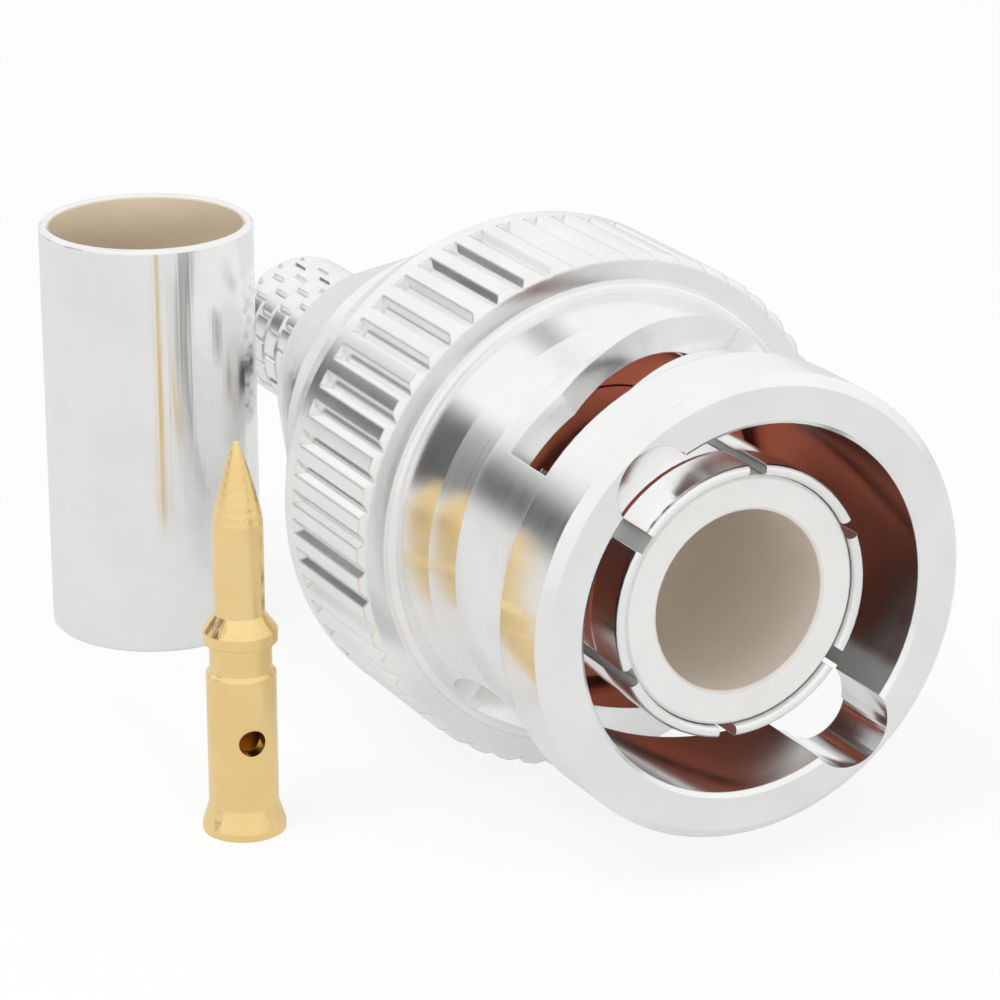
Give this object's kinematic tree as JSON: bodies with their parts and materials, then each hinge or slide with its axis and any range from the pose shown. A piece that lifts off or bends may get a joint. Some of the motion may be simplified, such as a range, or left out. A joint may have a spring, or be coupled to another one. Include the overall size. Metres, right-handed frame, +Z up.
{
  "type": "bnc connector",
  "caption": "Coaxial crimp plug with a bayonet coupling nut, knurled grip ring and slotted outer contact, with its loose centre contact and crimp ferrule.",
  "frame": {"origin": "centre of the coupling nut's mouth, on the connector's axis", "axes": "+X along the connector's axis, out of the mating face; +Z up; the part lies and stands on the plane z = -7.2 mm"},
  "size_m": [0.027, 0.0186, 0.0144],
  "materials": {
    "nut_plating": "bright silver-white plating, softly polished",
    "body_plating": "bright silver-white plating, softly polished",
    "sleeve_plating": "bright plating with rounded slot edges",
    "ferrule_plating": "bright smooth plated tube",
    "insulator": "waxy off-white fluoropolymer",
    "silicone": "red-brown silicone rubber",
    "spring_metal": "plain spring metal",
    "gold_plating": "gold plating, polished"
  },
  "bodies": {
    "shell": {"plug_body": "body_plating", "outer_contact": "sleeve_plating", "front_insulator": "insulator", "rear_insulator": "insulator", "gasket": "silicone", "wave_washer": "spring_metal", "centre_contact": "gold_plating", "crimp_ferrule": "ferrule_plating"},
    "washer": {"thrust_washer": "spring_metal"},
    "nut": {"coupling_nut": "nut_plating", "snap_ring": "spring_metal"}
  },
  "joints": [
    {"name": "nut_slide", "type": "slide", "parent": "shell", "child": "washer", "axis": [1, 0, 0], "range_m": [0, 0.0008], "stiffness_N_per_m": 3000, "springref_m": -0.001, "deforming": ["wave_washer"]},
    {"name": "nut_turn", "type": "hinge", "parent": "washer", "child": "nut", "pos_m": [-0.01175, 0, 0], "axis": [1, 0, 0], "continuous": true}
  ]
}
